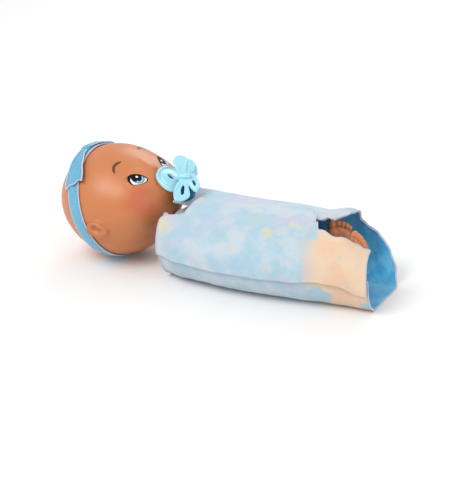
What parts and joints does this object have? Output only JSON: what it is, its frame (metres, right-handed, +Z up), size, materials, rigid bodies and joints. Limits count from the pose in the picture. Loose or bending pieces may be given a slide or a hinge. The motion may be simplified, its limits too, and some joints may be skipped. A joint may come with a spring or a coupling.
{
  "type": "interactive baby doll",
  "caption": "Baby doll with a vinyl head, cloth body, sound module, magnetic butterfly pacifier and headband bow, lying in an opening swaddle blanket.",
  "frame": {"origin": "middle of the resting face, on the surface that the doll lies on", "axes": "+X from the head to the feet, +Y to the doll's left, +Z up out of the chest"},
  "size_m": [0.3299, 0.1226, 0.1069],
  "materials": {
    "skin_vinyl": "soft satin vinyl, rotation moulded, warm brown skin tone",
    "pacifier_plastic": "semi-gloss pale aqua moulded plastic",
    "nipple_rubber": "soft translucent-looking rubber",
    "bow_fabric": "sky blue jersey with a pale piped edge",
    "body_fabric": "off-white brushed knit over soft filling",
    "swaddle_fabric": "pale blue watercolour-print plush with a deep teal lining",
    "case_plastic": "white moulded plastic",
    "dark_plastic": "black moulded plastic",
    "button_plastic": "blue moulded plastic",
    "tie_plastic": "white nylon",
    "lead_rubber": "black sleeved signal lead",
    "circuit_board": "green glass-fibre board",
    "battery_case": "plain dark grey wrapper",
    "metal": "zinc-plated steel"
  },
  "bodies": {
    "body": {"torso": "body_fabric", "torso_pocket_flap": "body_fabric", "module_rear_housing": "case_plastic", "module_front_housing": "case_plastic", "battery_door": "case_plastic", "battery_door_screw": "metal", "housing_screw_1": "metal", "housing_screw_2": "metal", "housing_screw_3": "metal", "housing_screw_4": "metal", "battery_1": "battery_case", "battery_2": "battery_case", "battery_3": "battery_case", "battery_spring_contacts": "metal", "battery_plate_contacts": "metal", "circuit_board": "circuit_board", "speaker": "dark_plastic", "neck_plug": "case_plastic", "neck_tie": "tie_plastic", "body_lead": "lead_rubber", "swaddle_base": "swaddle_fabric", "loop_strip": "tie_plastic"},
    "head": {"head_shell": "skin_vinyl", "headband": "bow_fabric", "bow_loop_left": "bow_fabric", "bow_loop_right": "bow_fabric", "bow_knot": "bow_fabric", "mouth_sensor": "circuit_board", "head_lead": "lead_rubber"},
    "pacifier": {"pacifier_shield": "pacifier_plastic", "pacifier_handle": "pacifier_plastic", "pacifier_nipple": "nipple_rubber", "pacifier_magnet": "metal"},
    "arm_left": {"upper_arm_left": "body_fabric", "hand_left": "skin_vinyl", "arm_tie_left": "tie_plastic"},
    "arm_right": {"upper_arm_right": "body_fabric", "hand_right": "skin_vinyl", "arm_tie_right": "tie_plastic"},
    "leg_left": {"thigh_left": "body_fabric", "foot_left": "skin_vinyl", "leg_tie_left": "tie_plastic"},
    "leg_right": {"thigh_right": "body_fabric", "foot_right": "skin_vinyl", "leg_tie_right": "tie_plastic"},
    "flap": {"swaddle_flap": "swaddle_fabric", "hook_strip": "tie_plastic"},
    "button": {"tummy_button": "button_plastic"},
    "switch": {"power_switch": "dark_plastic"}
  },
  "joints": [
    {"name": "head_turn", "type": "hinge", "parent": "body", "child": "head", "pos_m": [-0.108, 0, 0.0525], "axis": [0.9792, 0, -0.2028], "range_deg": [-20, 20]},
    {"name": "pacifier_pull", "type": "slide", "parent": "head", "child": "pacifier", "axis": [0.5, 0, 0.866], "range_m": [0, 0.06]},
    {"name": "arm_left_lift", "type": "hinge", "parent": "body", "child": "arm_left", "pos_m": [-0.034, 0.038, 0.033], "axis": [0, -1, 0], "range_deg": [-4, 7]},
    {"name": "arm_right_lift", "type": "hinge", "parent": "body", "child": "arm_right", "pos_m": [-0.034, -0.038, 0.033], "axis": [0, -1, 0], "range_deg": [-4, 7]},
    {"name": "leg_left_kick", "type": "hinge", "parent": "body", "child": "leg_left", "pos_m": [0.046, 0.017, 0.029], "axis": [0, -1, 0], "range_deg": [-3, 3]},
    {"name": "leg_right_kick", "type": "hinge", "parent": "body", "child": "leg_right", "pos_m": [0.044, -0.017, 0.029], "axis": [0, -1, 0], "range_deg": [-3, 5]},
    {"name": "swaddle_open", "type": "hinge", "parent": "body", "child": "flap", "pos_m": [0.04, -0.0592, 0.0268], "axis": [1, 0, 0], "range_deg": [0, 110]},
    {"name": "tummy_press", "type": "slide", "parent": "body", "child": "button", "axis": [0, 0, -1], "range_m": [0, 0.0015], "stiffness_N_per_m": 500, "springref_m": -0.0005},
    {"name": "power_slide", "type": "slide", "parent": "body", "child": "switch", "axis": [0, 1, 0], "range_m": [0, 0.003]}
  ]
}
